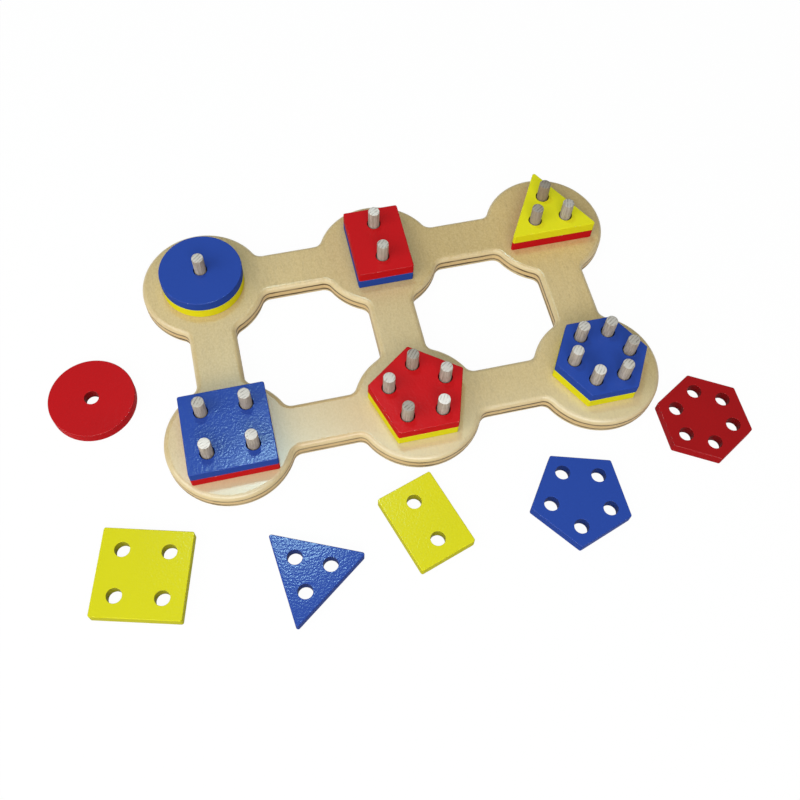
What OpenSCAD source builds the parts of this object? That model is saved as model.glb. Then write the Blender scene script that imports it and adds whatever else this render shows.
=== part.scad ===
// Peg puzzle: a plywood board with six stations of one to six pegs, and three painted plates of each shape.
// The origin is the centre of the board's underside, +X runs along the board and +Y to the back row.

/* [Board] */
// Distance between neighbouring stations along the board
pitch_x = 110; // [95:1:150]
// Distance between the two rows of stations
pitch_y = 108; // [95:1:150]
// Diameter of a round station
station_d = 75; // [66:1:84]
// Width of the bars that join the stations
bar_w = 28; // [16:1:36]
// Radius of the inner corners between a station and a bar
fillet_r = 6; // [4:0.5:9]
// Thickness of the plywood
board_t = 12; // [9:0.5:20]
// Rounding of the board's edges
board_edge_r = 3; // [1:0.25:4]

/* [Pegs] */
// Diameter of the dowels
peg_d = 7; // [5:0.25:8]
// Height of a peg above the board
peg_rise = 26; // [22:0.5:40]
// Depth of a peg's blind hole in the board
peg_depth = 8; // [4:0.5:8.5]
// Gap round a peg in its hole, filled by the glue
peg_glue_gap = 0.05; // [0.02:0.01:0.2]
// Chamfer of a peg's top end
peg_chamfer = 0.4; // [0.2:0.1:1]

/* [Plates] */
// Thickness of a plate
plate_t = 7; // [5:0.25:8]
// Gap round a peg in a plate's hole
plate_hole_gap = 0.7; // [0.5:0.1:1.5]
// Rounding of a plate's corners in plan
plate_corner_r = 1.25; // [1:0.25:4]
// Rounding of a plate's edges
plate_edge_r = 0.5; // [0.3:0.1:1]
// Diameter of the circle
circle_d = 50; // [40:0.5:60]
// Short side of the rectangle
rectangle_w = 34.5; // [24:0.5:40]
// Long side of the rectangle
rectangle_l = 48; // [44:0.5:56]
// Side of the triangle
triangle_side = 55; // [50:0.5:62]
// Side of the square
square_side = 49.5; // [44:0.5:54]
// Side of the pentagon
pentagon_side = 35; // [32:0.5:38]
// Width of the hexagon across its flats
hexagon_w = 49; // [46:0.5:56]

/* [Peg patterns] */
// Distance between the rectangle's two pegs
rectangle_peg_pitch = 25; // [18:0.5:30]
// Radius of the triangle's peg circle
triangle_peg_r = 11.5; // [8:0.5:13]
// Distance between neighbouring pegs of the square
square_peg_pitch = 25.5; // [18:0.5:32]
// Radius of the pentagon's peg circle
pentagon_peg_r = 17.5; // [12:0.5:19]
// Radius of the hexagon's peg circle
hexagon_peg_r = 17; // [12:0.5:19]

/* [Loose plates] */
// Circle: gap to the rim of the station beside it
circle_loose_gap = 35; // [1:1:60]
// Circle: swing about that station, from straight in front of it
circle_loose_swing = -50; // [-150:1:-40]
// Circle: turn about its own centre
circle_loose_turn = 0; // [-180:1:180]
// Rectangle: gap to its station
rectangle_loose_gap = 4; // [1:1:60]
// Rectangle: swing about its station
rectangle_loose_swing = -10; // [-15:1:15]
// Rectangle: turn
rectangle_loose_turn = 18; // [-180:1:180]
// Triangle: gap to its station
triangle_loose_gap = 20.5; // [1:0.5:60]
// Triangle: swing about its station
triangle_loose_swing = 19.5; // [10:0.5:25]
// Triangle: turn
triangle_loose_turn = 36; // [-180:1:180]
// Square: gap to its station
square_loose_gap = 15.5; // [1:0.5:60]
// Square: swing about its station
square_loose_swing = -41; // [-60:1:-30]
// Square: turn
square_loose_turn = -15.5; // [-180:0.5:180]
// Pentagon: gap to its station
pentagon_loose_gap = 15.5; // [1:0.5:60]
// Pentagon: swing about its station
pentagon_loose_swing = -24; // [-30:1:-10]
// Pentagon: turn
pentagon_loose_turn = 19; // [-180:1:180]
// Hexagon: gap to its station
hexagon_loose_gap = 3; // [1:1:60]
// Hexagon: swing about its station
hexagon_loose_swing = 51.5; // [40:0.5:90]
// Hexagon: turn
hexagon_loose_turn = 30; // [-180:1:180]

/* [Hidden] */
$fn = 96;
// Fineness of the small roundings on a plate's corners and edges
small_fn = 16;
// Extra reach of a cutting shape past the faces that it cuts
past = 1;
// Steps to a millimetre in the coarse part of a move
coarse_steps = 100;

WOOD = "burlywood";
DOWEL = "tan";
RED = "firebrick";
YELLOW = "gold";
BLUE = "royalblue";

station_r = station_d / 2;
peg_r = peg_d / 2;
hole_r = peg_r + plate_hole_gap;

// Centre of the inner corner beside a bar that leaves a station along +X
neck_y = bar_w / 2 + fillet_r;
neck_x = sqrt(pow(station_r + fillet_r, 2) - pow(neck_y, 2));

function turned(p, a) = [p.x * cos(a) - p.y * sin(a), p.x * sin(a) + p.y * cos(a)];
function ring(count, r, first_a) = [for (k = [0 : count - 1]) turned([r, 0], first_a + 360 * k / count)];
function polygon_r(sides, side) = side / 2 / sin(180 / sides);
// Centres of the rounded corners of a regular outline with the circumscribed radius r
function corner_ring(sides, r, first_a) = ring(sides, r - plate_corner_r / cos(180 / sides), first_a);

SHAPES = ["circle", "rectangle", "triangle", "square", "pentagon", "hexagon"];
CIRCLE = 0;
LAYERS = ["lower", "upper", "loose"];
LOOSE = 2;

triangle_r = polygon_r(3, triangle_side);
square_r = polygon_r(4, square_side);
pentagon_r = polygon_r(5, pentagon_side);
hexagon_r = hexagon_w / 2 / cos(30);

peg_points = [
    [[0, 0]],
    [[0, rectangle_peg_pitch / 2], [0, -rectangle_peg_pitch / 2]],
    ring(3, triangle_peg_r, 90),
    ring(4, polygon_r(4, square_peg_pitch), 45),
    ring(5, pentagon_peg_r, 90),
    ring(6, hexagon_peg_r, 0)
];

corner_points = [
    [],
    [for (x = [-1, 1], y = [-1, 1])
        [x * (rectangle_w / 2 - plate_corner_r), y * (rectangle_l / 2 - plate_corner_r)]],
    corner_ring(3, triangle_r, 90),
    corner_ring(4, square_r, 45),
    corner_ring(5, pentagon_r, 90),
    corner_ring(6, hexagon_r, 0)
];

plate_reach = [circle_d / 2, norm([rectangle_w, rectangle_l]) / 2, triangle_r, square_r, pentagon_r,
    hexagon_r];

plate_colours = [
    [YELLOW, BLUE, RED],
    [BLUE, RED, YELLOW],
    [RED, YELLOW, BLUE],
    [RED, BLUE, YELLOW],
    [YELLOW, RED, BLUE],
    [YELLOW, BLUE, RED]
];

loose_gaps = [circle_loose_gap, rectangle_loose_gap, triangle_loose_gap, square_loose_gap,
    pentagon_loose_gap, hexagon_loose_gap];
loose_swings = [circle_loose_swing, rectangle_loose_swing, triangle_loose_swing, square_loose_swing,
    pentagon_loose_swing, hexagon_loose_swing];
loose_turns = [circle_loose_turn, rectangle_loose_turn, triangle_loose_turn, square_loose_turn,
    pentagon_loose_turn, hexagon_loose_turn];
// The station that each loose plate lies beside, in the order of SHAPES
loose_stations = [0, 4, 3, 3, 5, 5];

function station_at(i) = [(i % 3 - 1) * pitch_x, (i < 3 ? 1 : -1) * pitch_y / 2];
function loose_at(i) = station_at(loose_stations[i])
    + turned([0, -(station_r + loose_gaps[i] + plate_reach[i])], loose_swings[i]);

function peg_name(i, k) = str(SHAPES[i], "_peg", len(peg_points[i]) > 1 ? str("_", k + 1) : "");
function plate_name(i, layer) = str(SHAPES[i], "_plate_", LAYERS[layer]);

// Half of a flat section, from its axis to a rim with both edges rounded
module rounded_rim(width, height, edge_r) {
    inner = width - edge_r;
    top = height - edge_r;
    polygon([[0, 0], [inner, 0], [inner, edge_r], [width, edge_r], [width, top], [inner, top],
        [inner, height], [0, height]]);
    for (y = [edge_r, top])
        translate([inner, y])
            intersection() {
                circle(edge_r);
                translate([0, y == top ? 0 : -edge_r]) square(edge_r);
            }
}

// A coarse move and a fine one, so that faces which meet agree to a millionth of a millimetre
module placed(p) {
    coarse = [for (v = p) round(v * coarse_steps) / coarse_steps];
    translate(coarse) translate(p - coarse) children();
}

// A vertical cut-out of the board's whole thickness
module board_slice(points) {
    translate([0, 0, -past]) linear_extrude(board_t + 2 * past) polygon(points);
}

// The round rim of a station between two of its bars
module station_wedge(from_a, to_a) {
    far = 2 * station_r;
    intersection() {
        rotate_extrude() rounded_rim(station_r, board_t, board_edge_r);
        board_slice(concat(
            [[0, 0], turned([neck_x, neck_y], from_a)],
            [for (a = [from_a : 90 : to_a - 90]) turned([far, far], a)],
            [turned([neck_x, -neck_y], to_a)]
        ));
    }
}

// One side of the place where a bar along +X runs into its station, with the hollow inner corner
module half_neck() {
    web = 2 * station_r;
    intersection() {
        board_slice([[0, 0], [neck_x, 0], [neck_x, neck_y]]);
        placed([neck_x, neck_y, 0])
            rotate_extrude()
                translate([fillet_r + web, 0]) mirror([1, 0]) rounded_rim(web, board_t, board_edge_r);
    }
}

// A bar along +X, from the end of its neck to the middle between two stations
module half_bar(reach) {
    intersection() {
        board_slice([[neck_x, -bar_w], [reach, -bar_w], [reach, bar_w], [neck_x, bar_w]]);
        rotate([90, 0, 90])
            linear_extrude(reach + past)
                for (side = [0, 1]) mirror([side, 0]) rounded_rim(bar_w / 2, board_t, board_edge_r);
    }
}

// A station with a half bar in each of the given directions
module station_with_bars(directions) {
    last = len(directions) - 1;
    for (i = [0 : last])
        station_wedge(directions[i], i < last ? directions[i + 1] : directions[0] + 360);
    for (a = directions)
        rotate(a) {
            for (side = [0, 1]) mirror([0, side, 0]) half_neck();
            half_bar((a % 180 == 0 ? pitch_x : pitch_y) / 2);
        }
}

module board() {
    bar_directions = [[0, 270], [0, 180, 270], [180, 270], [0, 90], [0, 90, 180], [90, 180]];
    color(WOOD)
        difference() {
            for (i = [0 : len(SHAPES) - 1]) translate(station_at(i)) station_with_bars(bar_directions[i]);
            for (i = [0 : len(SHAPES) - 1], p = peg_points[i])
                translate(concat(station_at(i) + p, board_t - peg_depth))
                    cylinder(h = peg_depth + past, r = peg_r + peg_glue_gap);
        }
}

module peg(i, k) {
    length = peg_depth + peg_rise;
    color(DOWEL)
        translate(concat(station_at(i) + peg_points[i][k], board_t - peg_depth))
            rotate_extrude()
                polygon([[0, 0], [peg_r, 0], [peg_r, length - peg_chamfer], [peg_r - peg_chamfer, length],
                    [0, length]]);
}

module plate_blank(i) {
    if (i == CIRCLE)
        rotate_extrude() rounded_rim(circle_d / 2, plate_t, plate_edge_r);
    else
        hull()
            for (c = corner_points[i])
                translate(c)
                    rotate_extrude($fn = small_fn)
                        rounded_rim(plate_corner_r, plate_t, plate_edge_r, $fn = small_fn);
}

module plate(i, layer) {
    at = layer == LOOSE ? concat(loose_at(i), 0) : concat(station_at(i), board_t + layer * plate_t);
    color(plate_colours[i][layer])
        translate(at)
            rotate(layer == LOOSE ? loose_turns[i] : 0)
                difference() {
                    plate_blank(i);
                    for (p = peg_points[i])
                        translate(concat(p, -past)) cylinder(h = plate_t + 2 * past, r = hole_r);
                }
}

board();

for (i = [0 : len(SHAPES) - 1], k = [0 : len(peg_points[i]) - 1])
    peg(i, k);

for (i = [0 : len(SHAPES) - 1], layer = [0 : len(LAYERS) - 1])
    plate(i, layer);
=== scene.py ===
import math
import random

import bpy
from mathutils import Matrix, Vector


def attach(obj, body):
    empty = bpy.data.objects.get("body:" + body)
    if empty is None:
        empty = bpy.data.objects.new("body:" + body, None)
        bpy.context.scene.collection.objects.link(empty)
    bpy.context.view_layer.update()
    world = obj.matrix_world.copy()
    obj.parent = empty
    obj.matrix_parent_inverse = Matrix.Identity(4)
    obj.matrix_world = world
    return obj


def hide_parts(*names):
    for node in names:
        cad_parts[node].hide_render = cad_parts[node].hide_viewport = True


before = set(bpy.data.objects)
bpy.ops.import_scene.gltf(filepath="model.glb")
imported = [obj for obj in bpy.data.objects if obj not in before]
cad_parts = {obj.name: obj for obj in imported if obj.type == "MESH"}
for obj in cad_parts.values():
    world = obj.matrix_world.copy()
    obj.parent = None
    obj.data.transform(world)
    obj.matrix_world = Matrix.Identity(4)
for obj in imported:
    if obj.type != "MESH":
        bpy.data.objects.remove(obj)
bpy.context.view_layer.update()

MM = 0.001

# The board and its stations, as the part is built
pitch_x, pitch_y = 110 * MM, 108 * MM
station_r = 37.5 * MM
board_t = 12 * MM

# The dowels
peg_r = 3.5 * MM
peg_length = 34 * MM
peg_foot = 4 * MM
peg_top = peg_foot + peg_length
peg_end_ease = 0.4 * MM

# How the dowels were sawn: degrees out of square, and the turn of the saw's stripes in radians
saw_seed = 21
saw_lean = (0.3, 1.6)
stripe_turn = (0.3, 1.2)

# The painted plates
plate_t = 7 * MM
hole_r = 4.2 * MM
corner_r = 1.25 * MM
edge_r = 0.5 * MM
rim_ease = 0.2 * MM

# Fineness of the meshes
disc_sides, bit_sides, peg_sides = 128, 56, 40
corner_steps, edge_steps, peg_end_steps = 8, 5, 3
smooth_below = math.radians(40)
hair = 0.01 * MM

SHAPES = ["circle", "rectangle", "triangle", "square", "pentagon", "hexagon"]
LAYERS = ["lower", "upper", "loose"]
CORNERS = {"triangle": 3, "square": 4, "pentagon": 5, "hexagon": 6}
FIRST_CORNER = {"triangle": 90, "square": 45, "pentagon": 90, "hexagon": 0}
circle_r = 25 * MM
rectangle_w, rectangle_l = 34.5 * MM, 48 * MM
plate_r = {
    "circle": circle_r,
    "rectangle": math.hypot(rectangle_w, rectangle_l) / 2,
    "triangle": 55 * MM / 2 / math.sin(math.radians(60)),
    "square": 49.5 * MM / 2 / math.sin(math.radians(45)),
    "pentagon": 35 * MM / 2 / math.sin(math.radians(36)),
    "hexagon": 49 * MM / 2 / math.cos(math.radians(30)),
}
PAINTS = {
    "circle": ("yellow", "blue", "red"),
    "rectangle": ("blue", "red", "yellow"),
    "triangle": ("red", "yellow", "blue"),
    "square": ("red", "blue", "yellow"),
    "pentagon": ("yellow", "red", "blue"),
    "hexagon": ("yellow", "blue", "red"),
}

# How deep each plate's colour comes out, from 0 to 1: on most plates, and on those that differ. On the loose
# hexagon it is painted shade, for the light falling off to the right
USUAL_TONE = 0.1
TONES_AND_SHADE = {
    ("hexagon", "loose"): 0.85, ("circle", "loose"): 0.35, ("rectangle", "upper"): 0.15,
    ("square", "loose"): 0.95, ("rectangle", "loose"): 0.7,
    ("pentagon", "upper"): 0.0, ("hexagon", "upper"): 0.0,
}

# Painted shade on the walls, from 0 to 1: in every hole, and round the outside of some loose plates
HOLE_SHADE = 0.5
LOOSE_WALL_SHADES = {"square": 0.22, "rectangle": 0.22, "triangle": 0.3, "pentagon": 0.15}

# How pale the sawn end of each dowel came out, from 0 to 1
PEG_TONES = {
    "circle": [0.6],
    "rectangle": [0.85, 0.5],
    "triangle": [0.05, 0.15, 0.4],
    "square": [0.7, 0.45, 1.0, 0.8],
    "pentagon": [0.22, 0.7, 0.25, 1.0, 0.65],
    "hexagon": [0.3, 0.45, 0.6, 0.7, 0.8, 0.55],
}

# Each loose plate: the station beside it, its gap to that station, its swing about it and its own turn
LOOSE = {
    "circle": (0, 35 * MM, -50, 0),
    "rectangle": (4, 4 * MM, -10, 18),
    "triangle": (3, 20.5 * MM, 19.5, 36),
    "square": (3, 15.5 * MM, -41, -15.5),
    "pentagon": (5, 15.5 * MM, -24, 19),
    "hexagon": (5, 3 * MM, 51.5, 30),
}


def ring(count, r, first_angle):
    angles = [math.radians(first_angle + 360 * k / count) for k in range(count)]
    return [Vector((r * math.cos(a), r * math.sin(a), 0)) for a in angles]


PEGS = {
    "circle": [Vector((0, 0, 0))],
    "rectangle": ring(2, 12.5 * MM, 90),
    "triangle": ring(3, 11.5 * MM, 90),
    "square": ring(4, 12.75 * MM / math.sin(math.radians(45)), 45),
    "pentagon": ring(5, 17.5 * MM, 90),
    "hexagon": ring(6, 17 * MM, 0),
}


def station_at(index):
    return Vector(((index % 3 - 1) * pitch_x, (pitch_y if index < 3 else -pitch_y) / 2, 0))


def loose_at(shape):
    station, gap, swing, _ = LOOSE[shape]
    reach, a = station_r + gap + plate_r[shape], math.radians(swing)
    return station_at(station) + Vector((reach * math.sin(a), -reach * math.cos(a), 0))


# Camera, at the angle from which the puzzle is seen
view_azimuth, view_height, view_roll = (math.radians(v) for v in (-16.763, 62.631, 4.022))
view_target = Vector((-8.39, -44.85, 0)) * MM
view_distance = 574.983 * MM
view_lens, sensor_w = 43.4114, 36


def place_camera():
    back = Vector((
        math.sin(view_azimuth) * math.cos(view_height),
        -math.cos(view_azimuth) * math.cos(view_height),
        math.sin(view_height),
    ))
    level = Vector((math.cos(view_azimuth), math.sin(view_azimuth), 0))
    upright = back.cross(level)
    across = math.cos(view_roll) * level + math.sin(view_roll) * upright
    upward = back.cross(across)
    bpy.ops.object.camera_add(location=view_target + back * view_distance)
    camera = bpy.context.object
    camera.name = "puzzle_camera"
    turn = camera.matrix_world.to_3x3()
    for row in range(3):
        turn[row] = (across[row], upward[row], back[row])
    camera.rotation_euler = turn.to_euler()
    camera.data.sensor_width = sensor_w
    camera.data.lens = view_lens
    camera.data.clip_start = 10 * MM
    bpy.context.scene.camera = camera


# Materials

class Value:
    """One shader value. Arithmetic on it adds Math nodes to its material."""

    def __init__(self, finish, socket):
        self.finish, self.socket = finish, socket

    def math(self, operation, *others):
        return self.finish.node("ShaderNodeMath", {"operation": operation}, [self, *others])

    def __add__(self, other): return self.math("ADD", other)
    def __mul__(self, other): return self.math("MULTIPLY", other)
    def __sub__(self, other): return self.math("SUBTRACT", other)
    def __truediv__(self, other): return self.math("DIVIDE", other)
    def __abs__(self): return self.math("ABSOLUTE")
    __radd__, __rmul__ = __add__, __mul__

    def __rsub__(self, other):
        return self.finish.node("ShaderNodeMath", {"operation": "SUBTRACT"}, [other, self])

    def between(self, low, high):
        """0 at low and 1 at high, eased at both ends."""
        return self.finish.node(
            "ShaderNodeMapRange", {"interpolation_type": "SMOOTHSTEP"},
            {"Value": self, "From Min": low, "From Max": high})


class Finish:
    """One material and the nodes that it is made of."""

    def __init__(self, name):
        self.material = bpy.data.materials.new(name)
        self.material.use_nodes = True
        self.tree = self.material.node_tree
        self.tree.nodes.clear()

    def node(self, kind, settings=None, inputs=None, output=0):
        made = self.tree.nodes.new(kind)
        for key, setting in (settings or {}).items():
            setattr(made, key, setting)
        pairs = inputs.items() if isinstance(inputs, dict) else enumerate(inputs or [])
        for key, given in pairs:
            socket = made.inputs[key]
            if isinstance(given, Value):
                self.tree.links.new(given.socket, socket)
            elif socket.type == "RGBA" and len(given) == 3:
                socket.default_value = (*given, 1)
            else:
                socket.default_value = given
        return Value(self, made.outputs[output])

    def place(self):
        return self.node("ShaderNodeTexCoord", output="Object")

    def kept(self, name):
        """A number that the piece keeps on its points."""
        return self.node("ShaderNodeAttribute", {"attribute_name": name}, output="Fac")

    def parts(self, vector):
        split = self.node("ShaderNodeSeparateXYZ", inputs=[vector]).socket.node
        return [Value(self, out) for out in split.outputs]

    def upness(self):
        """1 where the surface looks up, 0 on a wall."""
        return self.parts(self.node("ShaderNodeNewGeometry", output="Normal"))[2]

    def noise(self, per_metre, detail=2.0, roughness=0.5):
        """A noise with so many features to a metre along X, Y and Z."""
        spot = self.node(
            "ShaderNodeMapping", {"vector_type": "POINT"}, {"Vector": self.place(), "Scale": per_metre})
        return self.node(
            "ShaderNodeTexNoise", {"noise_dimensions": "3D"},
            {"Vector": spot, "Scale": 1.0, "Detail": detail, "Roughness": roughness})

    def blend(self, share, one, other):
        return self.node(
            "ShaderNodeMix", {"data_type": "RGBA"}, {"Factor": share, 6: one, 7: other}, output=2)

    def bump(self, height, distance, strength=1.0, under=None):
        inputs = {"Height": height, "Distance": distance, "Strength": strength}
        if under:
            inputs["Normal"] = under
        return self.node("ShaderNodeBump", inputs=inputs)

    def surface(self, **sockets):
        named = {key.replace("_", " "): given for key, given in sockets.items()}
        return self.node("ShaderNodeBsdfPrincipled", inputs=named)

    def mixed(self, share, one, other):
        return self.node("ShaderNodeMixShader", inputs=[share, one, other])

    def done(self, shader):
        out = self.tree.nodes.new("ShaderNodeOutputMaterial")
        self.tree.links.new(shader.socket, out.inputs["Surface"])
        return self.material


def lacquered_plywood():
    wood = Finish("lacquered_plywood")
    x, y, z = wood.parts(wood.place())
    left, front, height = x / -MM, y / -MM, z / MM
    # Face veneer: the grain runs from front to back
    honey, pale_honey, late_wood, fleck = (
        (0.565, 0.41, 0.172), (0.65, 0.47, 0.195), (0.50, 0.355, 0.15), (0.42, 0.28, 0.11))
    streaks = wood.noise((430, 60, 200), 3, 0.6)
    flecks = wood.noise((760, 240, 400), 2, 0.55).between(0.54, 0.7)
    clouds = wood.noise((14, 9, 10), 2)
    face = wood.blend(clouds.between(0.3, 0.7), honey, pale_honey)
    face = wood.blend(streaks.between(0.35, 0.75) * 0.45, face, late_wood)
    face = wood.blend(flecks * 0.38, face, fleck)
    # Sanding left the veneer mottled, as much paler as darker
    rubbed_pale, rubbed_dark = (0.74, 0.60, 0.34), (0.45, 0.31, 0.12)
    sanded = wood.noise((1000, 720, 900), 2, 0.65).between(0.38, 0.62)
    face = wood.blend(sanded * 0.22, face, rubbed_pale)
    face = wood.blend((1 - sanded) * 0.22, face, rubbed_dark)
    # Slow zones over the board, in millimetres from its middle: painted sheen that pales the wood towards the
    # front, the left and the middle, and one bar painted warmer against the lamp's cyan sheen
    sheen_cream, sheen_offset_colour = (0.71, 0.63, 0.43), (0.62, 0.36, 0.12)
    sheen_front, sheen_left = front.between(48, 86), left.between(-40, 110)
    sheen_middle = (1 - abs(left + 45).between(40, 120)) * front.between(-40, 0)
    painted_sheen = sheen_front * 0.36 + sheen_left * 0.14 + sheen_middle * 0.19
    # Painted: this bar is made warmer to offset the lamp's cyan sheen on it
    sheen_offset_bar = (1 - abs(left - 55).between(15, 40)) * (1 - abs(front - 54).between(10, 30))
    face = wood.blend(painted_sheen, face, sheen_cream)
    face = wood.blend(sheen_offset_bar * 0.4, face, sheen_offset_colour)
    # Plies of the rim: two pale faces, a tan core and a brown cross band on each side of it
    pale_ply, tan_ply, glue_line, void = (
        (0.70, 0.56, 0.31), (0.70, 0.50, 0.235), (0.50, 0.32, 0.13), (0.03, 0.016, 0.007))
    upper_brown, lower_brown = (0.09, 0.052, 0.017), (0.085, 0.048, 0.016)
    upper_ply, lower_ply = 8.6, 4.2
    wobble = (wood.noise((28, 28, 5), 2) - 0.5) * 0.9 + (wood.noise((160, 160, 40), 2) - 0.5) * 0.35
    ply = height + wobble
    lines = wood.noise((70, 70, 2400), 3, 0.6)
    upper_band = 1 - abs(ply - upper_ply).between(0.4, 0.95)
    lower_band = 1 - abs(ply - lower_ply).between(0.5, 1.0)
    core = ply.between(lower_ply - 0.2, lower_ply + 0.2) - ply.between(upper_ply - 0.2, upper_ply + 0.2)
    short_breaks = wood.noise((95, 95, 300), 2).between(0.3, 0.6)
    long_breaks = wood.noise((19, 19, 30), 1).between(0.4, 0.6)
    band_share = 0.45 + (short_breaks * 0.5 + long_breaks * 0.5) * 0.55
    voids = wood.noise((75, 75, 420), 1).between(0.57, 0.63)
    rim = wood.blend(core, pale_ply, tan_ply)
    rim = wood.blend(lines.between(0.4, 0.7) * 0.35, rim, glue_line)
    rim = wood.blend(upper_band * band_share, rim, upper_brown)
    rim = wood.blend(lower_band * band_share, rim, lower_brown)
    rim = wood.blend(lower_band * voids, rim, void)
    up = abs(wood.upness())
    on_rim = 1 - up.between(0.5, 0.85)
    # Round-over: a painted highlight along the crest, pale and broken up by noise
    crest_highlight = (0.68, 0.60, 0.42)
    crest = up.between(0.3, 0.6) - up.between(0.93, 0.99)
    highlight_breaks = wood.noise((240, 240, 900), 2, 0.6).between(0.3, 0.6)
    colour = wood.blend(on_rim, face, rim)
    colour = wood.blend(crest * highlight_breaks * 0.2, colour, crest_highlight)
    dull = 0.3 + streaks * 0.1 + on_rim * 0.15
    relief = wood.bump(streaks * 0.5 + flecks * 0.4 + lines * on_rim * 0.5, 0.06 * MM)
    return wood.done(wood.surface(
        Base_Color=colour, Roughness=dull, Specular_IOR_Level=0.2, Normal=relief,
        Coat_Weight=up.between(0.4, 0.98), Coat_Roughness=0.3, Coat_IOR=1.7))


def bare_dowel():
    wood = Finish("bare_dowel")
    tone = wood.kept("end_tone")
    # Side: grey grain along the dowel, browner where the end is dark
    grey, pale_grey, brown, pore = (
        (0.33, 0.28, 0.225), (0.50, 0.44, 0.37), (0.27, 0.19, 0.115), (0.19, 0.145, 0.105))
    grain = wood.noise((1100, 1100, 60), 3, 0.6)
    pores = wood.noise((1250, 1250, 210), 2, 0.6).between(0.5, 0.7)
    side = wood.blend(grain.between(0.3, 0.7), grey, pale_grey)
    side = wood.blend((1 - tone.between(0, 0.35)) * 0.75, side, brown)
    side = wood.blend(pores * 0.5, side, pore)
    # Sawn end: stripes of the saw, end-grain pores and a tone of its own
    dark_end, pale_end, stripe, end_pore = (
        (0.25, 0.215, 0.175), (0.80, 0.77, 0.73), (0.15, 0.125, 0.105), (0.25, 0.21, 0.16))
    stripe_pitch = 3600
    spun = wood.node(
        "ShaderNodeVectorRotate", {"rotation_type": "Z_AXIS"},
        {"Vector": wood.place(), "Angle": wood.kept("saw_turn")})
    along = wood.parts(spun)[0]
    sway = (wood.noise((260, 260, 90), 2) - 0.5) * 2.6
    saw = (along * stripe_pitch + sway).math("SINE").between(0.1, 0.95)
    patch = wood.noise((330, 330, 100), 3, 0.6)
    speck = wood.noise((3600, 3600, 500), 2, 0.6).between(0.5, 0.75)
    end = wood.blend(tone, dark_end, pale_end)
    scored = patch.between(0.35, 0.6) * (0.95 - tone * 0.6)
    end = wood.blend(saw * scored, end, stripe)
    end = wood.blend(speck * 0.3, end, end_pore)
    on_end = wood.upness().between(0.55, 0.9)
    relief = wood.bump(grain * 0.6 + pores * -0.4 + saw * on_end * -0.5, 0.08 * MM)
    return wood.done(wood.surface(
        Base_Color=wood.blend(on_end, side, end), Roughness=0.62 + grain * 0.15, Specular_IOR_Level=0.2,
        Normal=relief))


def gloss_paint(name, colour, deep, chip):
    paint = Finish(name)
    # Film over wood: a pebbled skin, a slow wave under it, painted shade along the edges and a little wear
    # there
    pebble = paint.noise((900, 900, 900), 0, 0.5)
    wave = paint.noise((85, 85, 85), 2, 0.5)
    cloud = paint.noise((26, 26, 60), 2)
    up = abs(paint.upness())
    edge = up.between(0.08, 0.4) - up.between(0.75, 0.97)
    nicks = paint.noise((620, 620, 620), 2, 0.6).between(0.66, 0.71)
    tint = paint.blend(paint.kept("tone_and_shade") + (cloud - 0.5) * 0.35, colour, deep)
    # Painted shade: the edges darken towards the deep tone
    tint = paint.blend(edge * 0.5, tint, deep)
    tint = paint.blend(edge * nicks * 0.8, tint, chip)
    # Painted shade on the walls: darkest in the holes, and round the outside of some loose plates
    painted_shade_black = [0.15 * part for part in deep]
    wall_shade_tint = paint.blend(paint.kept("wall_shade"), tint, painted_shade_black)
    relief = paint.bump(wave, 0.3 * MM, 0.15, paint.bump(pebble, 0.058 * MM, 1.0))
    # The sprayed faces shine and the walls are duller, with painted shade on them
    face = paint.surface(
        Base_Color=tint, Roughness=0.15 + cloud * 0.06, Specular_IOR_Level=0.25, Normal=relief)
    wall = paint.surface(Base_Color=wall_shade_tint, Roughness=0.5, Specular_IOR_Level=0.02, Normal=relief)
    return paint.done(paint.mixed(up.between(0.25, 0.7), wall, face))


plywood = lacquered_plywood()
dowel = bare_dowel()
paints = {
    "red": gloss_paint("red_paint", (0.57, 0.007, 0.011), (0.30, 0.005, 0.007), (0.75, 0.30, 0.26)),
    "yellow": gloss_paint("yellow_paint", (0.765, 0.715, 0.012), (0.63, 0.60, 0.010), (0.85, 0.80, 0.35)),
    "blue": gloss_paint("blue_paint", (0.021, 0.064, 0.355), (0.012, 0.042, 0.26), (0.25, 0.33, 0.60)),
}


# Modelling

def take_only(piece):
    bpy.ops.object.select_all(action="DESELECT")
    piece.select_set(True)
    bpy.context.view_layer.objects.active = piece


def pick_edges(piece, wanted):
    """Selects in edit mode the edges whose two ends pass the test."""
    bpy.ops.mesh.select_mode(type="EDGE")
    bpy.ops.mesh.select_all(action="DESELECT")
    bpy.ops.object.mode_set(mode="OBJECT")
    points = piece.data.vertices
    for edge in piece.data.edges:
        ends = [points[i].co for i in edge.vertices]
        edge.select = wanted(*ends)
    bpy.ops.object.mode_set(mode="EDIT")


def is_upright(a, b):
    return abs(a.z - b.z) > plate_t / 2


def is_level(a, b):
    return abs(a.z - b.z) < hair


def apply_all(piece):
    take_only(piece)
    for modifier in list(piece.modifiers):
        bpy.ops.object.modifier_apply(modifier=modifier.name)


def copied(piece, name, place, turn=0.0):
    take_only(piece)
    bpy.ops.object.duplicate(linked=False)
    copy = bpy.context.object
    copy.name = copy.data.name = name
    copy.location = place
    copy.rotation_euler = (0, 0, turn)
    bpy.ops.object.transform_apply(location=True, rotation=True, scale=True)
    return copy


def dress(piece, material):
    piece.data.materials.clear()
    piece.data.materials.append(material)


def keep(piece, name, given):
    """Keeps a number on the piece's points for its material: one for all of them, or a list with one each."""
    values = given if isinstance(given, list) else [given] * len(piece.data.vertices)
    kept = piece.data.attributes.new(name, "FLOAT", "POINT")
    kept.data.foreach_set("value", values)


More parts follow.
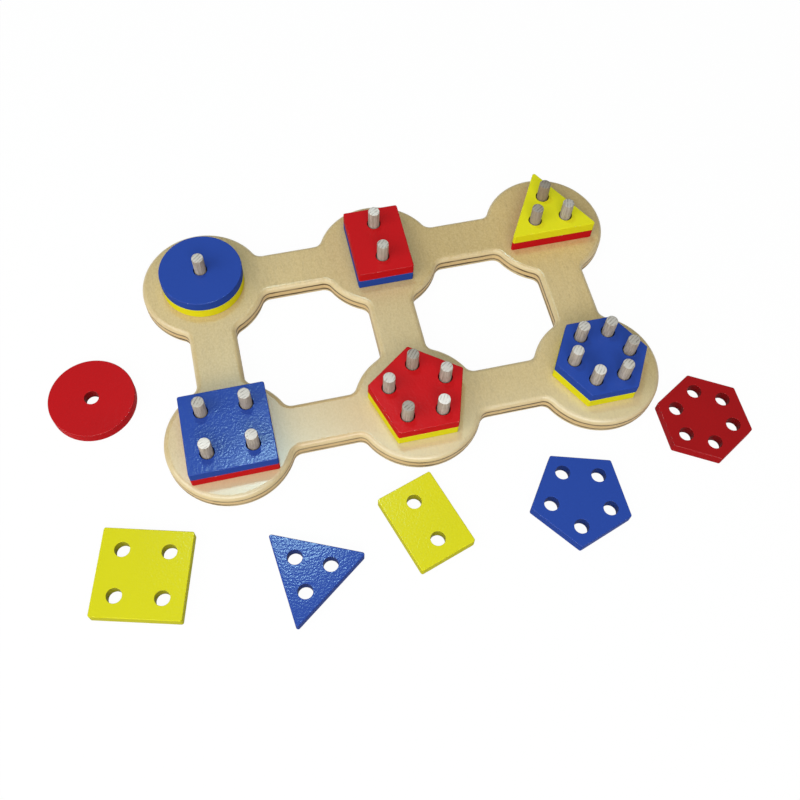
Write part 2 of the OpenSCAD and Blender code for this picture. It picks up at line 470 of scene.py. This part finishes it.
def plate_blank(shape):
    """The plate's outline as a block about the origin, with rounded corners and eased edges."""
    bpy.ops.object.select_all(action="DESELECT")
    half_corner = 45
    if shape == "circle":
        bpy.ops.mesh.primitive_cylinder_add(vertices=disc_sides, radius=circle_r, depth=plate_t)
    elif shape == "rectangle":
        bpy.ops.mesh.primitive_cube_add(size=1, scale=(rectangle_w, rectangle_l, plate_t))
        bpy.ops.object.transform_apply(location=False, rotation=False, scale=True)
    else:
        count = CORNERS[shape]
        first = math.radians(FIRST_CORNER[shape] - 90)
        bpy.ops.mesh.primitive_cylinder_add(
            vertices=count, radius=plate_r[shape], depth=plate_t, rotation=(0, 0, first))
        bpy.ops.object.transform_apply(location=False, rotation=True, scale=False)
        half_corner = 90 - 180 / count
    blank = bpy.context.object
    bpy.ops.object.mode_set(mode="EDIT")
    if shape != "circle":
        # This profile keeps the bevel on a circular arc at any corner angle
        half = math.radians(half_corner)
        true_arc = (1 - 0.5 / (1 + math.sin(half))) ** 2
        pick_edges(blank, is_upright)
        bpy.ops.mesh.bevel(
            offset=corner_r / math.tan(half), segments=corner_steps, profile=true_arc, affect="EDGES")
    pick_edges(blank, is_level)
    bpy.ops.mesh.bevel(offset=edge_r, segments=edge_steps, affect="EDGES")
    bpy.ops.object.mode_set(mode="OBJECT")
    return blank


def flared_bit():
    """A drill bit that opens out at both faces of a plate, so that each hole gets a rounded rim."""
    bpy.ops.object.select_all(action="DESELECT")
    bpy.ops.mesh.primitive_cylinder_add(vertices=bit_sides, radius=hole_r, depth=plate_t - 2 * rim_ease)
    bit = bpy.context.object
    flare = [(hole_r + rim_ease * (1 - math.cos(a)), rim_ease * math.sin(a))
             for a in (math.radians(15 * k) for k in range(6))]
    # The last slope runs on past the plate's face, and the bit ends upright above it
    (before_r, before_z), (end_r, end_z) = flare[-2:]
    past_r, past_z = end_r + 2 * (end_r - before_r), end_z + 2 * (end_z - before_z)
    flare += [(past_r, past_z), (past_r, 2 * rim_ease)]
    bpy.ops.object.mode_set(mode="EDIT")
    for side in (1, -1):
        bpy.ops.mesh.select_mode(type="FACE")
        bpy.ops.mesh.select_all(action="DESELECT")
        bpy.ops.object.mode_set(mode="OBJECT")
        for face in bit.data.polygons:
            face.select = face.normal.z * side > 0.99
        bpy.ops.object.mode_set(mode="EDIT")
        for (r, z), (wider, further) in zip(flare, flare[1:]):
            bpy.ops.mesh.extrude_region_move(
                TRANSFORM_OT_translate={"value": (0, 0, side * (further - z))})
            bpy.ops.transform.resize(value=(wider / r, wider / r, 1))
    bpy.ops.object.mode_set(mode="OBJECT")
    return bit


def drill(blank, centres):
    """Cuts the peg holes with one drill that has a bit at every centre."""
    bit = flared_bit()
    bits = [copied(bit, "bit", centre) for centre in centres]
    bpy.data.objects.remove(bit)
    take_only(bits[0])
    for other in bits[1:]:
        other.select_set(True)
    if len(bits) > 1:
        bpy.ops.object.join()
    cut = blank.modifiers.new("holes", "BOOLEAN")
    cut.operation, cut.solver, cut.object = "DIFFERENCE", "EXACT", bits[0]
    apply_all(blank)
    bpy.data.objects.remove(bits[0])
    bpy.ops.object.shade_smooth_by_angle(angle=smooth_below)
    even = blank.modifiers.new("even_shading", "WEIGHTED_NORMAL")
    even.keep_sharp = True
    apply_all(blank)


def painted_plates(shape, index):
    centres = PEGS[shape]
    blank = plate_blank(shape)
    drill(blank, centres)
    in_hole = [any((point.co - centre).xy.length < hole_r + 2 * rim_ease for centre in centres)
               for point in blank.data.vertices]
    for layer, name in enumerate(LAYERS):
        if name == "loose":
            place, turn = loose_at(shape), math.radians(LOOSE[shape][3])
            outside = LOOSE_WALL_SHADES.get(shape, 0.0)
        else:
            place, turn = station_at(index) + Vector((0, 0, board_t + layer * plate_t)), 0.0
            outside = 0.0
        plate = copied(blank, f"{shape}_{name}_painted", place + Vector((0, 0, plate_t / 2)), turn)
        colour = PAINTS[shape][layer]
        dress(plate, paints[colour])
        keep(plate, "tone_and_shade", TONES_AND_SHADE.get((shape, name), USUAL_TONE))
        keep(plate, "wall_shade", [HOLE_SHADE if inside else outside for inside in in_hole])
        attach(plate, f"{shape}_{name}")
        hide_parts(f"{shape}_plate_{name}")
    bpy.data.objects.remove(blank)


def saw_off(peg, middle, normal):
    """Cuts the dowel along a plane and eases the rim of the cut."""
    def on_cut(a, b):
        return all(abs((end - middle).dot(normal)) < hair for end in (a, b))

    bpy.ops.object.mode_set(mode="EDIT")
    bpy.ops.mesh.select_all(action="SELECT")
    bpy.ops.mesh.bisect(
        plane_co=middle, plane_no=normal, use_fill=True, clear_outer=True, threshold=0.1 * hair)
    bpy.ops.mesh.select_all(action="SELECT")
    bpy.ops.mesh.normals_make_consistent(inside=False)
    pick_edges(peg, on_cut)
    bpy.ops.mesh.bevel(offset=peg_end_ease, segments=peg_end_steps, affect="EDGES")
    bpy.ops.object.mode_set(mode="OBJECT")


def sawn_pegs():
    """Dowels sawn to length: every end is a little out of square, and no two are alike."""
    chance = random.Random(saw_seed)
    rod_length = peg_length + peg_r
    bpy.ops.object.select_all(action="DESELECT")
    bpy.ops.mesh.primitive_cylinder_add(
        vertices=peg_sides, radius=peg_r, depth=rod_length, location=(0, 0, peg_foot + rod_length / 2))
    bpy.ops.object.transform_apply(location=True, rotation=False, scale=False)
    rod = bpy.context.object
    for index, shape in enumerate(SHAPES):
        for k, centre in enumerate(PEGS[shape]):
            node = f"{shape}_peg" + (f"_{k + 1}" if len(PEGS[shape]) > 1 else "")
            spot = station_at(index) + centre
            peg = copied(rod, node + "_sawn", spot)
            lean, way = math.radians(chance.uniform(*saw_lean)), chance.uniform(0, 2 * math.pi)
            normal = Vector((math.sin(lean) * math.cos(way), math.sin(lean) * math.sin(way), math.cos(lean)))
            saw_off(peg, spot + Vector((0, 0, peg_top - peg_r * math.tan(lean))), normal)
            bpy.ops.object.shade_smooth_by_angle(angle=smooth_below)
            keep(peg, "end_tone", PEG_TONES[shape][k])
            keep(peg, "saw_turn", chance.uniform(*stripe_turn))
            dress(peg, dowel)
            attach(peg, "board")
            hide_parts(node)
    bpy.data.objects.remove(rod)


# Stage

floor_size = 8
floor_drop = 0.1 * MM
lamp_aim = Vector((0, -30 * MM, 0))


def white_floor():
    bpy.ops.object.select_all(action="DESELECT")
    bpy.ops.mesh.primitive_plane_add(size=floor_size, location=(0, 0, -floor_drop))
    floor = bpy.context.object
    floor.name = "floor"
    plain = Finish("white_floor")
    # Looked at or mirrored, the floor is near white; the light that it throws back is a dimmer paper's
    ray = plain.node("ShaderNodeLightPath").socket.node.outputs
    seen, mirrored, seen_through = (
        Value(plain, ray[name]) for name in ("Is Camera Ray", "Is Glossy Ray", "Is Transmission Ray"))
    shown = seen.math("MAXIMUM", mirrored).math("MAXIMUM", seen_through)
    paper = plain.node("ShaderNodeBsdfDiffuse", inputs={"Color": (0.62, 0.62, 0.62)})
    bright = plain.node("ShaderNodeBsdfDiffuse", inputs={"Color": (0.95, 0.95, 0.95)})
    glow = plain.node("ShaderNodeEmission", inputs={"Color": (1, 1, 1), "Strength": 1.0})
    dress(floor, plain.done(plain.mixed(shown, paper, plain.mixed(0.97, bright, glow))))


def soft_lamp(name, direction, distance, size, watts, colour=(1, 1, 1)):
    towards = Vector(direction).normalized()
    bpy.ops.object.light_add(type="AREA", location=lamp_aim + towards * distance)
    lamp = bpy.context.object
    lamp.name = name
    lamp.rotation_euler = towards.to_track_quat("Z", "Y").to_euler()
    lamp.data.shape, lamp.data.size, lamp.data.size_y = "RECTANGLE", *size
    lamp.data.energy, lamp.data.color = watts, colour


def studio_light():
    soft_lamp("window_left", (-0.72, -0.30, 0.62), 1.5, (1.3, 1.1), 11.8)
    soft_lamp("card_in_front", (-0.10, -0.75, 0.65), 1.5, (1.0, 0.5), 9.3)
    soft_lamp("lamp_above", (-0.066, 0.322, 0.945), 1.293, (0.13, 0.14), 2.9, (0.535, 0.9, 1.0))
    soft_lamp("panel_overhead", (-0.05, -0.28, 0.96), 1.5, (1.4, 1.2), 4.0, (1.0, 0.96, 0.88))
    world = bpy.data.worlds.new("pale_room")
    bpy.context.scene.world = world
    world.use_nodes = True
    room = world.node_tree.nodes["Background"].inputs
    room["Color"].default_value = (1.0, 0.95, 0.86, 1)
    room["Strength"].default_value = 0.24


place_camera()
white_floor()
studio_light()
bpy.context.scene.view_settings.view_transform = "Standard"

dress(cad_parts["board"], plywood)
for index, shape in enumerate(SHAPES):
    painted_plates(shape, index)
sawn_pegs()
